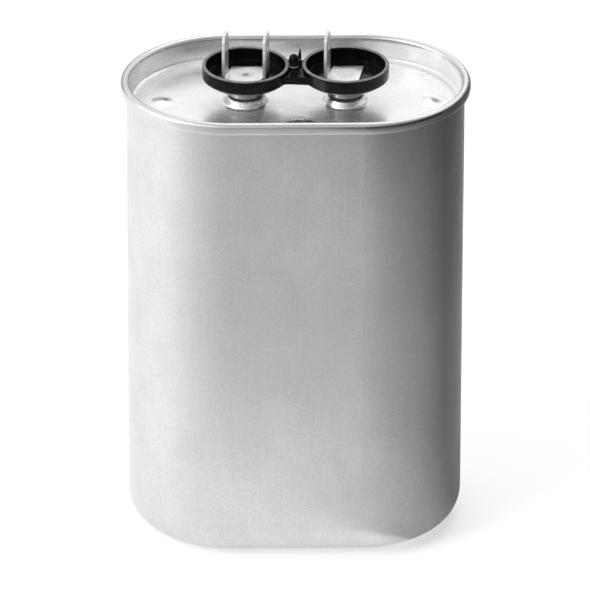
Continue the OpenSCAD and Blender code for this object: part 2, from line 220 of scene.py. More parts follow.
# %% A board that only reflections see
def board(name, centre, width, height, facing, grey):
    """A flat sheet that glows in one grey and looks in the direction of facing."""
    bpy.ops.object.select_all(action="DESELECT")
    bpy.ops.mesh.primitive_plane_add(size=1)
    sheet = bpy.context.object
    sheet.name = name
    sheet.scale = (width, height, 1)
    sheet.rotation_mode = "QUATERNION"
    sheet.rotation_quaternion = Vector(facing).to_track_quat("Z", "Y")
    sheet.location = centre
    cloth = bpy.data.materials.new(name)
    cloth.use_nodes = True
    cloth.node_tree.nodes.clear()
    out = add_node(cloth.node_tree, "ShaderNodeOutputMaterial")
    shade = add_node(cloth.node_tree, "ShaderNodeEmission", Strength=grey)
    cloth.node_tree.links.new(shade.outputs[0], out.inputs["Surface"])
    sheet.data.materials.append(cloth)
    sheet.visible_camera = False
    sheet.visible_diffuse = False
    sheet.visible_shadow = False
    sheet.visible_transmission = False
    return sheet


# %% Cards and feet
SCREEN_MIDDLE = Vector((-0.02, 0, 0))
SCREEN_R = 0.11
FOOT_R = 0.055
FOOT_SLOPE = 0.02
FOOT_LIFT = 0.0016
CARD_TURN = 6
CARD_OVERLAP = 1.02
UP = Vector((0, 0, 1))


def heading(angle):
    """The level direction at an angle in degrees from the front, growing to the right."""
    return Vector((math.sin(math.radians(angle)), -math.cos(math.radians(angle)), 0))


def card(angle, low, high, distance, grey):
    """An upright card that faces the middle of the screen."""
    way = heading(angle)
    width = CARD_OVERLAP * distance * math.radians(CARD_TURN)
    middle = SCREEN_MIDDLE + way * distance + UP * (low + high) / 2
    board(f"card_{angle}_{round(low / MM)}", middle, width, high - low, -way, grey)


def foot(angle, grey):
    """A card that lies on the floor and is narrower towards the middle of the screen."""
    way = heading(angle)
    width = CARD_OVERLAP * SCREEN_R * math.radians(CARD_TURN)
    middle = SCREEN_MIDDLE + way * (FOOT_R + SCREEN_R) / 2 + UP * FOOT_LIFT
    sheet = board(f"foot_{angle}", middle, width, SCREEN_R - FOOT_R, UP - way * FOOT_SLOPE, grey)
    for vert in sheet.data.vertices:
        if vert.co.y < 0:
            vert.co.x *= FOOT_R / SCREEN_R


# %% The screen, the ceiling and the bright board
TALL_R = 0.4
BACK_R = 0.15
BACK_ANGLES = (132, 228)
BACK_ROW = (0.115, 0.165, BACK_R)
BACK_GREY = 0.25
# Angles of the screen, and the grey of its feet and rows at these angles
ANGLES = (-54, -12, 8, 14, 20, 30, 66, 90, 114, 126)
FOOT_GREYS = (1.05, 1.0, 0.96, 0.93, 0.9, 0.74, 0.46, 0.17, 0.27, 0.5)
# (bottom, top, distance): greys
ROWS = {
    (0.0, 0.05, SCREEN_R): (1.0, 0.63, 0.55, 0.54, 0.52, 0.45, 0.34, 0.125, 0.25, 0.42),
    (0.05, 0.085, SCREEN_R): (1.0, 0.57, 0.6, 0.65, 0.69, 0.43, 0.25, 0.085, 0.21, 0.42),
    (0.085, 0.115, SCREEN_R): (1.0, 0.56, 0.56, 0.56, 0.22, 0.2, 0.17, 0.06, 0.18, 0.35),
    (0.115, 0.165, SCREEN_R): (1.0, 0.45, 0.38, 0.36, 0.03, 0.01, 0.02, 0.06, 0.12, 0.3),
    (0.165, 0.8, TALL_R): (1.3, 0.9, 0.55, 0.47, 0.4, 0.35, 0.38, 0.6, 1.0, 1.0),
}
# name: middle, width, height, facing, grey
SINGLE_BOARDS = {
    "ceiling": ((0.2, -0.06, 0.8), 1.0, 0.72, -UP, 0.5),
    "glow_left": ((-0.45, -0.03, 0.33), 0.3, 0.25, (1, 0, 0), 2.2),
}

screen_angles = range(ANGLES[0], ANGLES[-1] + 1, CARD_TURN)
for angle in screen_angles:
    for row, greys in ROWS.items():
        card(angle, *row, float(np.interp(angle, ANGLES, greys)))
    foot(angle, float(np.interp(angle, ANGLES, FOOT_GREYS)))
for angle in range(BACK_ANGLES[0], BACK_ANGLES[1] + 1, CARD_TURN):
    card(angle, *BACK_ROW, BACK_GREY)
for name, facts in SINGLE_BOARDS.items():
    board(name, *facts)
print("cards at", len(screen_angles), "angles in", len(ROWS), "rows, and", *SINGLE_BOARDS)

# %% [markdown]
# ## Modelling helpers
# Most pieces of a capacitor are round or oval, so they start as a drawn section. A section is one
# point that is extruded again and again into a chain of edges. A spin then turns the chain into a
# round piece, or carries it around the oval of the rim.

# %% Drawing a section
WELD = 1e-7


def begin_piece(name):
    """An empty mesh object in edit mode."""
    if bpy.context.mode != "OBJECT":
        bpy.ops.object.mode_set(mode="OBJECT")
    bpy.ops.object.select_all(action="DESELECT")
    bpy.ops.mesh.primitive_plane_add(size=MM)
    piece = bpy.context.object
    piece.name = name
    piece.data.name = name
    bpy.ops.object.mode_set(mode="EDIT")
    bpy.ops.mesh.delete(type="VERT")
    return piece


def draw_chain(points):
    """A chain of edges through points in millimetres, left selected."""
    places = [Vector(point) * MM for point in points]
    bpy.ops.mesh.primitive_plane_add(size=MM)
    bpy.ops.mesh.merge(type="CENTER")
    bpy.ops.transform.translate(value=places[0])
    for here, there in zip(places, places[1:]):
        bpy.ops.mesh.extrude_vertices_move(TRANSFORM_OT_translate={"value": there - here})
    bpy.ops.mesh.select_linked()


def arc(centre, radius, start, end, steps):
    """Points of a section's arc, from angle start to angle end in degrees."""
    angles = [math.radians(start + (end - start) * i / steps) for i in range(steps + 1)]
    return [(centre[0] + radius * math.cos(a), centre[1] + radius * math.sin(a)) for a in angles]


# %% Turning a section into a surface
ROUND_STEPS = 96
END_STEPS = 64
HALF_FLAT = 17.5


def lathe(section, x, y=0, steps=ROUND_STEPS):
    """Turns a section of (radius, height) about an upright axis through x, y."""
    draw_chain([(x + r, y, z) for r, z in section])
    bpy.ops.mesh.spin(steps=steps, angle=math.tau, center=Vector((x, y, 0)) * MM, axis=(0, 0, 1))
    bpy.ops.mesh.select_all(action="SELECT")
    bpy.ops.mesh.remove_doubles(threshold=WELD)


def around_oval(section):
    """Carries a section around two round ends and two flat sides."""
    draw_chain([(HALF_FLAT, r, z) for r, z in section])
    for side in (1, -1):
        middle = Vector((side * HALF_FLAT, 0, 0)) * MM
        bpy.ops.mesh.spin(steps=END_STEPS, angle=math.pi, center=middle, axis=(0, 0, 1))
        straight = Vector((-2 * side * HALF_FLAT, 0, 0)) * MM
        bpy.ops.mesh.extrude_edges_move(TRANSFORM_OT_translate={"value": straight})
    bpy.ops.mesh.select_all(action="SELECT")
    bpy.ops.mesh.remove_doubles(threshold=WELD)


# %% Finishing a piece
SMOOTH_ANGLE = math.radians(32)


def face_out():
    """Turns all faces outwards and leaves edit mode."""
    bpy.ops.mesh.select_all(action="SELECT")
    bpy.ops.mesh.normals_make_consistent(inside=False)
    bpy.ops.object.mode_set(mode="OBJECT")


def use_modifier(piece, kind, **settings):
    """Adds a modifier to the active piece and applies it."""
    bpy.context.view_layer.objects.active = piece
    modifier = piece.modifiers.new(kind.lower(), kind)
    for key, value in settings.items():
        setattr(modifier, key, value)
    bpy.ops.object.modifier_apply(modifier=modifier.name)


def combine(piece, other, operation):
    """Joins another solid to a piece, or cuts it out, and removes the other."""
    use_modifier(piece, "BOOLEAN", operation=operation, object=other, solver="EXACT")
    bpy.data.objects.remove(other)


def close_piece(piece, node):
    """Smooths a piece, puts it in a node's place and prints its faces and open edges."""
    bpy.ops.object.select_all(action="DESELECT")
    piece.select_set(True)
    bpy.context.view_layer.objects.active = piece
    bpy.ops.object.shade_smooth_by_angle(angle=SMOOTH_ANGLE)
    check = bmesh.new()
    check.from_mesh(piece.data)
    loose = sum(not edge.is_manifold for edge in check.edges)
    volume = check.calc_volume(signed=True) / MM ** 3
    check.free()
    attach(piece, "root")
    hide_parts(node)
    print(piece.name, len(piece.data.polygons), "faces,", loose, "open edges,", round(volume, 1), "mm3")


# %% [markdown]
# ## The lid
# The real lid is one sheet of tinplate: it hooks under the can's edge, climbs the seam, rolls over
# the top, drops down the chuck wall and ends in a flat panel. Only its upper skin is drawn here, and
# a Solidify modifier then gives the sheet its thickness. The seam bulges a little like a barrel, and
# its lower roll and upper curl touch that barrel from inside. Each curve of the lid ends in a short
# flat step, so that its smooth shading doesn't leak across the long faces of the panel.

# %% Lid skin
RIM_R = 29.0
PANEL = 123.2
CURL_R = 1.23
ROLL_R = 0.71
BARREL_R = 4.17
BARREL = (RIM_R - BARREL_R, 128.35)
BARREL_ENDS = (-14, 8)
HOOK_TOP = 128.2
CHUCK_R = 26.51
CHUCK_TOP = 128.5
CHUCK_EDGE = 1.2
WALL_STEP = 0.2
PANEL_STEP = 0.4


def touching(angle, radius):
    """Middle of a circle that touches the seam's barrel from inside at an angle in degrees."""
    reach = BARREL_R - radius
    return (BARREL[0] + reach * math.cos(math.radians(angle)),
            BARREL[1] + reach * math.sin(math.radians(angle)))


low, high = BARREL_ENDS
roll = touching(low, ROLL_R)
seam = [(roll[0] - ROLL_R, HOOK_TOP)]
seam += arc(roll, ROLL_R, 180, 360 + low, 14)
seam += arc(BARREL, BARREL_R, low, high, 6)[1:]
seam += arc(touching(high, CURL_R), CURL_R, high, 180, 20)[1:]
seam += [(CHUCK_R, CHUCK_TOP), (CHUCK_R, PANEL + CHUCK_EDGE + WALL_STEP)]
seam += arc((CHUCK_R - CHUCK_EDGE, PANEL + CHUCK_EDGE), CHUCK_EDGE, 0, -90, 10)
seam += [(CHUCK_R - CHUCK_EDGE - PANEL_STEP, PANEL)]
lid = begin_piece("lid_pressing")
around_oval(seam)
print("seam section", len(seam), "points")

# %% [markdown]
# Two bosses under the terminals and two pips near the ends are pressed up from the panel. A boss is a
# soft bell: a wide foot, a leaning wall and a round shoulder, drawn so that each runs on from the last.
# A pip was pushed up by a pointed punch, so it rises slowly from the panel and ends in a blunt point.

# %% Bosses, pips and fill hole
TERMINALS = (-13.25, 13.25)
BOSS_TOP = 125.3
BOSS_R = 6.8
BOSS_FLAT = 4.3
BOSS_HOLE = 2.5
BOSS_LEAN = 20
# Distance of a round's middle from the boss's axis, and its radius
BOSS_FOOT = (6.41, 0.9)
BOSS_SHOULDER = (4.6, 0.6)
PIPS = (-35.4, 35.4)
PIP_R = 3.1
PIP_H = 0.9
PIP_SKIRT = 0.5
PIP_POINTS = 12
PIP_CURVE = 1.2
FILL = (1.0, -13.5)
FILL_R = 1.5
FILL_STEPS = 32
SMALL_STEPS = 48

reach, radius = BOSS_FOOT
boss = [(BOSS_R, PANEL)] + arc((reach, PANEL + radius), radius, 270, 180 + BOSS_LEAN, 8)
reach, radius = BOSS_SHOULDER
boss += arc((reach, BOSS_TOP - radius), radius, BOSS_LEAN, 90, 8)
boss += [(BOSS_FLAT, BOSS_TOP), (BOSS_HOLE, BOSS_TOP)]
for x in TERMINALS:
    lathe(boss, x)

pip = [(PIP_R + PIP_SKIRT, PANEL)]
for i in range(PIP_POINTS + 1):
    inward = i / PIP_POINTS
    pip.append((PIP_R * (1 - inward), PANEL + PIP_H * inward ** PIP_CURVE))
for x in PIPS:
    lathe(pip, x, steps=SMALL_STEPS)

hole = arc(FILL, FILL_R, 0, 360, FILL_STEPS)
draw_chain([(x, y, PANEL) for x, y in hole])
bpy.ops.mesh.select_all(action="SELECT")
bpy.ops.mesh.remove_doubles(threshold=WELD)
print("boss section", len(boss), "points, pip section", len(pip), "points")

# %% Fill the panel and give the sheet its thickness
LID_SHEET = 0.35

bpy.ops.mesh.select_mode(type="EDGE")
bpy.ops.mesh.select_all(action="DESELECT")
skin = bmesh.from_edit_mesh(lid.data)
for edge in skin.edges:
    level = all(abs(v.co.z - PANEL * MM) < WELD for v in edge.verts)
    edge.select_set(level and not edge.is_manifold)
bmesh.update_edit_mesh(lid.data)
bpy.ops.mesh.fill(use_beauty=True)
bpy.ops.mesh.select_mode(type="VERT")
bpy.ops.mesh.select_all(action="SELECT")
bpy.ops.mesh.normals_make_consistent(inside=False)
skin = bmesh.from_edit_mesh(lid.data)
rim_face = max(skin.faces, key=lambda face: face.calc_center_median().z)
if rim_face.normal.z < 0:
    bpy.ops.mesh.flip_normals()
bpy.ops.object.mode_set(mode="OBJECT")
use_modifier(lid, "SOLIDIFY", thickness=LID_SHEET * MM, offset=-1)
close_piece(lid, "lid")

# %% [markdown]
# ## The terminal moulding
# Two cups on necks, joined by a waist, are one black moulding. A mould leaves every edge a little
# round, and those small rounds are what catches the light on black plastic. The cups are turned from
# a closed section with its rounds drawn in. The waist is a plan outline that flows into both cups.

# %% Cups
BORE_R = 1.7
SPIGOT_BASE = 123.75
SPIGOT_R = 2.4
SPIGOT_BEVEL = (0.1, 0.15)
NECK_BASE = 125.9
NECK_R = 4.75
NECK_ROUND = 0.2
NECK_FILLET = 0.3
CUP_BASE = 129.5
CUP_R = 10.5
CUP_OUT = 11.55
CUP_ROUND = 0.5
CUP_SIDE = 130.95
# The cup's underside, as (radius, height above its base)
UNDERSIDE = ((9.75, 0), (10.0, 0.04), (10.2, 0.14), (11.2, 0.92))
CUP_FLOOR = 130.5
CUP_FLAT = 10.0
CUP_CORNER = 0.15
LIP = 133.775
LIP_R = 0.525
LIP_STEP = 0.3
CUP_STEPS = 128

cup = [(BORE_R, SPIGOT_BASE), (SPIGOT_R - SPIGOT_BEVEL[0], SPIGOT_BASE)]
cup += [(SPIGOT_R, SPIGOT_BASE + SPIGOT_BEVEL[1]), (SPIGOT_R, NECK_BASE)]
cup += [(NECK_R - NECK_ROUND, NECK_BASE)]
cup += arc((NECK_R - NECK_ROUND, NECK_BASE + NECK_ROUND), NECK_ROUND, -60, 0, 3)
cup += arc((NECK_R + NECK_FILLET, CUP_BASE - NECK_FILLET), NECK_FILLET, 180, 90, 5)
cup += [(r, CUP_BASE + height) for r, height in UNDERSIDE]
cup += arc((CUP_OUT - CUP_ROUND, CUP_SIDE), CUP_ROUND, -50, 0, 5)
cup += [(CUP_OUT, LIP - LIP_STEP)] + arc((CUP_R + LIP_R, LIP), LIP_R, 0, 180, 14)
cup += [(CUP_R, LIP - LIP_STEP)]
cup += arc((CUP_R - CUP_CORNER, CUP_FLOOR + CUP_CORNER), CUP_CORNER, 0, -90, 4)
cup += [(CUP_FLAT, CUP_FLOOR), (BORE_R, CUP_FLOOR), (BORE_R, SPIGOT_BASE)]
moulding = begin_piece("terminal_moulding")
for x in TERMINALS:
    lathe(cup, x, steps=CUP_STEPS)
face_out()
print("cup section", len(cup), "points")

# %% Waist
WAIST_BASE = 130.7
WAIST_TOP = 132.9
WAIST_HALF = 5.5
WAIST_FILLET = 2.0
WAIST_ROUND = 0.22
# The waist ends in the middle of the cup's wall, and its fillets touch a circle near the outer side
WALL_MIDDLE = 11.03
FILLET_TOUCH = 11.45

across = math.sqrt((FILLET_TOUCH + WAIST_FILLET) ** 2 - (WAIST_HALF + WAIST_FILLET) ** 2)
fillet_x = TERMINALS[0] + across
meet = math.degrees(math.atan2(WAIST_HALF + WAIST_FILLET, -across))
front = arc((fillet_x, -WAIST_HALF - WAIST_FILLET), WAIST_FILLET, meet, 90, 8)
spread = math.degrees(math.atan2(WAIST_HALF + WAIST_FILLET, across))
inner = arc((TERMINALS[0], 0), WALL_MIDDLE, spread, -spread, 16)
left_half = inner + front
right_half = [(-x, -y) for x, y in left_half]
outline = left_half + right_half
waist = begin_piece("waist")
draw_chain([(x, y, WAIST_BASE) for x, y in outline + outline[:1]])
bpy.ops.mesh.remove_doubles(threshold=WELD)
bpy.ops.mesh.edge_face_add()
rise = Vector((0, 0, WAIST_TOP - WAIST_BASE)) * MM
bpy.ops.mesh.extrude_region_move(TRANSFORM_OT_translate={"value": rise})
bpy.ops.mesh.select_mode(type="EDGE")
block = bmesh.from_edit_mesh(waist.data)
for edge in block.edges:
    edge.select_set(abs(edge.verts[0].co.z - edge.verts[1].co.z) < WELD)
bmesh.update_edit_mesh(waist.data)
bpy.ops.mesh.bevel(offset=WAIST_ROUND * MM, segments=3, affect="EDGES")
bpy.ops.mesh.select_mode(type="VERT")
face_out()
combine(moulding, waist, "UNION")
print("waist outline", len(outline), "points")

# %% [markdown]
# On the waist stand a round peg and, behind it, a thin pointed stub where the plastic flowed into
# the mould. The peg is turned like the cups. The stub starts as a cube whose upper face is made
# narrow and pushed to one side, as broken plastic is.

# %% Peg
PEG = (-0.5, -1.0)
PEG_R = 1.3
PEG_TOP = 137.5
PEG_SUNK = 0.5
PEG_STEPS = 40
# The peg's flared foot, as (radius, height above the waist)
PEG_FOOT = ((1.75, -0.05), (1.55, 0.06), (1.4, 0.22), (PEG_R, 0.5))

peg = begin_piece("peg")
section = [(0, WAIST_TOP - PEG_SUNK), (PEG_FOOT[0][0], WAIST_TOP - PEG_SUNK)]
section += [(r, WAIST_TOP + height) for r, height in PEG_FOOT]
section += arc((0, PEG_TOP - PEG_R), PEG_R, 0, 90, 10)
lathe(section, *PEG, steps=PEG_STEPS)
face_out()
combine(moulding, peg, "UNION")
print("peg section", len(section), "points")

# %% Gate stub
GATE = (1.0, 3.0)
GATE_SIZE = (1.5, 0.7, 4.7)
GATE_SUNK = 0.4
GATE_TIP = (0.22, 0.4)
GATE_LEAN = 0.25
GATE_ROUND = 0.05
GATE_CUTS = 3

gate_base = WAIST_TOP - GATE_SUNK
bpy.ops.object.select_all(action="DESELECT")
bpy.ops.mesh.primitive_cube_add(size=1, location=Vector((*GATE, gate_base + GATE_SIZE[2] / 2)) * MM)
gate = bpy.context.object
gate.scale = Vector(GATE_SIZE) * MM
bpy.ops.object.transform_apply(location=True, rotation=False, scale=True)
bpy.ops.object.mode_set(mode="EDIT")
bpy.ops.mesh.subdivide(number_cuts=GATE_CUTS)
bpy.ops.mesh.select_all(action="DESELECT")
stub = bmesh.from_edit_mesh(gate.data)
for vert in stub.verts:
    climb = (vert.co.z / MM - gate_base) / GATE_SIZE[2]
    for axis in (0, 1):
        shrink = 1 - climb * (1 - GATE_TIP[axis])
        vert.co[axis] = GATE[axis] * MM + (vert.co[axis] - GATE[axis] * MM) * shrink
    vert.co.x += GATE_LEAN * MM * climb * climb
bmesh.update_edit_mesh(gate.data)
face_out()
use_modifier(gate, "BEVEL", width=GATE_ROUND * MM, segments=2, limit_method="ANGLE")
combine(moulding, gate, "UNION")
close_piece(moulding, "terminal_bridge")

# %% [markdown]
# ## The terminals
# Each terminal is stamped from tinned strip: a plate with a tab bent up at one end, or at both. The
# bends run at a slant across the strip. So the plate is drawn turned by that slant, with its bends
# square to the axes and its long edges cut at an angle, and it is turned back when it is done. The
# plate's end is cut into a face as wide as a tab. Spinning that face a quarter turn makes the bend,
# and extruding it makes the tab, which ends in a tapered tip.

# %% Terminal strip
STRIP = 0.8
STRIP_ROUND = 0.07
PLATE_TOP = CUP_FLOOR + STRIP
PLATE_DEPTH = 9.6
BEND_R = 0.4
BEND_STEPS = 8
TAB_W = 6.35
TAB_TOP = 143.2
TAB_TAPER = 1.5
TIP_THIN = 0.92
TIP_SCALE = (TIP_THIN, (TAB_W - 2 * TAB_TAPER) / TAB_W, 1)
LATCH_DROP = 4.2
LATCH_R = 0.9
LATCH_OUT = 1.0
LATCH_STEPS = 32
SINK_R = 2.55
END_NEAR = 0.01
END_FLUSH = 0.001
FORK_REACH = 4.6
SINGLE_REACH = 4.1
SLANT = math.radians(10)
ALONG = Vector((math.cos(SLANT), math.sin(SLANT), 0))
ACROSS = Vector((-math.sin(SLANT), math.cos(SLANT), 0))


def faces_where(piece, test):
    """Selects the faces of a piece in edit mode whose middle, in millimetres, passes a test."""
    bpy.ops.mesh.select_mode(type="FACE")
    bpy.ops.mesh.select_all(action="DESELECT")
    strip = bmesh.from_edit_mesh(piece.data)
    for face in strip.faces:
        face.select_set(test(face.calc_center_median() / MM))
    bmesh.update_edit_mesh(piece.data)


def raise_tab(piece, side, end):
    """Bends a tab up from the plate's end, a point in millimetres on the right (1) or left (-1)."""
    for edge in (-TAB_W / 2, TAB_W / 2):
        faces_where(piece, lambda middle: middle.x * side > 0)
        bpy.ops.mesh.bisect(plane_co=(end + Vector((0, edge, 0))) * MM, plane_no=(0, 1, 0))
    faces_where(piece, lambda middle: (middle - end).xy.length < END_NEAR
                and abs(middle.x - end.x) < END_FLUSH)
    bend = (end + UP * (PLATE_TOP + BEND_R)) * MM
    bpy.ops.mesh.spin(steps=BEND_STEPS, angle=math.pi / 2, center=bend, axis=(0, side, 0))
    upright = UP * (TAB_TOP - TAB_TAPER - PLATE_TOP - BEND_R) * MM
    bpy.ops.mesh.extrude_region_move(TRANSFORM_OT_translate={"value": upright})
    bpy.ops.mesh.extrude_region_move(TRANSFORM_OT_translate={"value": UP * TAB_TAPER * MM})
    tip = end + Vector((side * (BEND_R + STRIP / 2), 0, TAB_TOP))
    bpy.ops.transform.resize(value=TIP_SCALE, center_override=tip * MM)
    bpy.ops.mesh.select_mode(type="VERT")


# %% Plates with their tabs
def terminal(name, x, reach, sides):
    """A plate at x with a tab on each given side, reach millimetres from its middle."""
    bpy.ops.object.select_all(action="DESELECT")
    middle = UP * (CUP_FLOOR + STRIP / 2) * MM
    bpy.ops.mesh.primitive_cube_add(size=1, location=middle)
    piece = bpy.context.object
    piece.name = name
    piece.data.name = name
    piece.scale = Vector((2 * reach * ALONG.x, 2 * PLATE_DEPTH, STRIP)) * MM
    bpy.ops.object.transform_apply(location=True, rotation=False, scale=True)
    bpy.ops.object.mode_set(mode="EDIT")
    for way in (1, -1):
        bpy.ops.mesh.select_all(action="SELECT")
        outward = ACROSS * way
        cut = outward * PLATE_DEPTH / 2 * MM
        bpy.ops.mesh.bisect(plane_co=cut, plane_no=outward, use_fill=True, clear_outer=True)
    bpy.ops.mesh.select_all(action="SELECT")
    bpy.ops.mesh.bisect(plane_co=(0, 0, 0), plane_no=(1, 0, 0))
    for side in sides:
        raise_tab(piece, side, ALONG * side * reach)
    bpy.ops.mesh.select_all(action="SELECT")
    bpy.ops.mesh.remove_doubles(threshold=WELD)
    face_out()
    use_modifier(piece, "BEVEL", width=STRIP_ROUND * MM, segments=2, limit_method="ANGLE")
    for side in sides:
        latch = ALONG * side * reach + Vector((side * LATCH_OUT, 0, TAB_TOP - LATCH_DROP))
        bpy.ops.mesh.primitive_cylinder_add(
            vertices=LATCH_STEPS, radius=LATCH_R * MM, depth=4 * STRIP * MM, location=latch * MM,
            rotation=(0, math.pi / 2, 0)
        )
        combine(piece, bpy.context.object, "DIFFERENCE")
    bpy.ops.mesh.primitive_cone_add(
        vertices=SMALL_STEPS, radius1=BORE_R * MM, radius2=SINK_R * MM, depth=2 * STRIP * MM,
        location=middle
    )
    combine(piece, bpy.context.object, "DIFFERENCE")
    piece.location.x = x * MM
    piece.rotation_euler.z = -SLANT
    bpy.ops.object.select_all(action="DESELECT")
    piece.select_set(True)
    bpy.ops.object.transform_apply(location=True, rotation=True, scale=True)
    return piece


left_fork = terminal("left_fork_strip", TERMINALS[0], FORK_REACH, (1, -1))
right_tab = terminal("right_tab_strip", TERMINALS[1], SINGLE_REACH, (-1,))
close_piece(left_fork, "left_fork")
close_piece(right_tab, "right_tab")

# %% [markdown]
# ## Rivets and the solder bead
# A countersunk rivet holds each terminal, with a punched dimple in its head that is deeper on the
# left. The oil was filled in through a small hole in the lid, and a bead of solder closes it. Solder
# freezes as it runs, so the bead is turned first, then its points are pushed about a little and
# smoothed by subdivision.

# %% Rivets
RIVET_BASE = 120.25
RIVET_STEP = 120.85
RIVET_FOOT_R = 2.8
RIVET_FOOT_BEVEL = 0.1
SHANK_R = 1.6
HEAD_BASE = 130.7
HEAD_R = 2.3
HEAD_DROP = 0.005
DIMPLE_R = 1.2
# The dimple's side, as (radius, share of the depth), and the depth on the left and the right
DIMPLE = ((1.05, 0.15), (0.8, 0.5), (0.45, 0.85), (0.2, 1.0), (0, 1.0))
DIMPLE_DEPTHS = (0.2, 0.03)

head = PLATE_TOP - HEAD_DROP
shank = [(0, RIVET_BASE), (RIVET_FOOT_R - RIVET_FOOT_BEVEL, RIVET_BASE)]
shank += [(RIVET_FOOT_R, RIVET_BASE + RIVET_FOOT_BEVEL), (RIVET_FOOT_R, RIVET_STEP)]
shank += [(SHANK_R, RIVET_STEP), (SHANK_R, HEAD_BASE), (HEAD_R, head), (DIMPLE_R, head)]
for side, x, depth in zip(("left", "right"), TERMINALS, DIMPLE_DEPTHS):
    piece = begin_piece(side + "_rivet_pin")
    lathe(shank + [(r, head - depth * share) for r, share in DIMPLE], x, steps=SMALL_STEPS)
    face_out()
    close_piece(piece, side + "_rivet")

# %% Solder bead
PLUG_BASE = 122.9
PLUG_R = 1.35
# The bead's outline, as (radius, height above the panel)
BEAD = ((3.7, -0.02), (3.8, 0.1), (3.65, 0.28), (3.1, 0.5), (2.0, 0.7), (0.9, 0.8), (0, 0.82))
BEAD_LOOSE = 0.2
BEAD_STEPS = 20
# How far its points are pushed, how evenly, how much of it outwards, and the random seed
BEAD_WOBBLE = 0.03
BEAD_EVEN = 0.4
BEAD_OUTWARD = 0.3
BEAD_SEED = 4

bead_section = [(0, PLUG_BASE), (PLUG_R, PLUG_BASE), (PLUG_R, PANEL + BEAD[0][1])]
bead_section += [(r, PANEL + height) for r, height in BEAD]
bead = begin_piece("solder_bead")
lathe(bead_section, *FILL, steps=BEAD_STEPS)
bpy.ops.mesh.select_all(action="DESELECT")
drop = bmesh.from_edit_mesh(bead.data)
for vert in drop.verts:
    vert.select_set(vert.co.z > (PANEL + BEAD_LOOSE) * MM)
drop.select_flush(True)
bmesh.update_edit_mesh(bead.data)
bpy.ops.transform.vertex_random(
    offset=BEAD_WOBBLE * MM, uniform=BEAD_EVEN, normal=BEAD_OUTWARD, seed=BEAD_SEED
)
face_out()
use_modifier(bead, "SUBSURF", levels=2, render_levels=2)
close_piece(bead, "fill_plug")

# %% [markdown]
# ## Finishes
# Every finish is a Principled shader fed by a few noise patterns in the object's own coordinates, so
# nothing slides when the view changes. A pattern's size is given in millimetres along x, y and z: equal
# sizes make mottling, and one long size makes streaks. The same patterns drive colour, roughness and
# bump, because on real metal a darker speck is usually a rougher one too.


# %% Shader and pattern helpers
def finish(name, metallic=0.0):
    """A new material with its node tree and its shader."""
    material = bpy.data.materials.new(name)
    material.use_nodes = True
    tree = material.node_tree
    shader = tree.nodes["Principled BSDF"]
    shader.inputs["Metallic"].default_value = metallic
    return material, tree, shader


def feed(tree, shader, name, pattern):
    """Lets a pattern drive one input of the shader."""
    tree.links.new(pattern, shader.inputs[name])


def object_coords(tree):
    return add_node(tree, "ShaderNodeTexCoord").outputs["Object"]


def grain(tree, size, detail=2.0, shift=0.0, coords=None):
    """Noise with blobs of size = (x, y, z) millimetres."""
    if coords is None:
        coords = object_coords(tree)
    mapping = add_node(tree, "ShaderNodeMapping")
    mapping.inputs["Location"].default_value = (shift, shift, shift)
    mapping.inputs["Scale"].default_value = [1 / (length * MM) for length in size]
    noise = add_node(tree, "ShaderNodeTexNoise", Scale=1.0, Detail=detail)
    tree.links.new(coords, mapping.inputs["Vector"])
    tree.links.new(mapping.outputs[0], noise.inputs["Vector"])
    return noise.outputs["Fac"]


def wear(piece, *materials):
    """Gives a piece or a node these finishes in its material slots."""
    piece.data.materials.clear()
    for material in materials:
        piece.data.materials.append(material)


# %% [markdown]
# Patterns are joined by small sums, each a Math node. A mask is a pattern that is 1 where something is
# and 0 where it isn't, with a soft edge between, so a mask times a pattern keeps the pattern there.


# %% Sums of patterns
def math_node(tree, operation, *values):
    """The result of a Math node on patterns or plain numbers."""
    node = add_node(tree, "ShaderNodeMath", operation=operation)
    for slot, value in zip(node.inputs, values):
        if isinstance(value, (int, float)):
            slot.default_value = value
        else:
            tree.links.new(value, slot)
    return node.outputs[0]


def times(tree, first, second):
    return math_node(tree, "MULTIPLY", first, second)


def plus(tree, first, second):
    return math_node(tree, "ADD", first, second)


def less(tree, first, second):
    return math_node(tree, "SUBTRACT", first, second)


def blend(tree, *parts):
    """Weighted sum of patterns, each part a (pattern, weight) pair."""
    total = 0.0
    for pattern, weight in parts:
        total = plus(tree, times(tree, pattern, weight), total)
    return total


def between(tree, value, low, high, start=0.35, end=0.65):
    """Maps a pattern from start..end to low..high, held at both ends."""
    node = add_node(tree, "ShaderNodeMapRange")
    for slot, number in zip(list(node.inputs)[1:5], (start, end, low, high)):
        slot.default_value = number
    tree.links.new(value, node.inputs["Value"])
    return node.outputs["Result"]


def by_mask(tree, mask, off, on):
    """A number that is off where a mask is 0 and on where it is 1."""
    return between(tree, mask, off, on, 0.0, 1.0)


def tint(tree, value, dark, light):
    """A colour between dark and light, chosen by a pattern from 0 to 1."""
    node = add_node(tree, "ShaderNodeMix", data_type="RGBA")
    ends = [slot for slot in node.inputs if slot.type == "RGBA"]
    ends[0].default_value = (*dark, 1)
    ends[1].default_value = (*light, 1)
    tree.links.new(value, node.inputs["Factor"])
    return [slot for slot in node.outputs if slot.type == "RGBA"][0]


def bump(tree, shader, height, microns):
    """Lets a pattern raise the surface, by so many microns where it is 1."""
    node = add_node(tree, "ShaderNodeBump", Strength=1.0, Distance=microns * MM / 1000)
    tree.links.new(height, node.inputs["Height"])
    feed(tree, shader, "Normal", node.outputs["Normal"])


# %% [markdown]
# Masks are measured on the object itself: by height, by the distance from a spot, or by the way out from
# the oval's middle line, which is the straight line between the middles of its two round ends.


# %% Masks by place
def split(tree, coords):
    """The x, y and z of coordinates."""
    node = add_node(tree, "ShaderNodeSeparateXYZ")
    tree.links.new(coords, node.inputs[0])
    return node.outputs


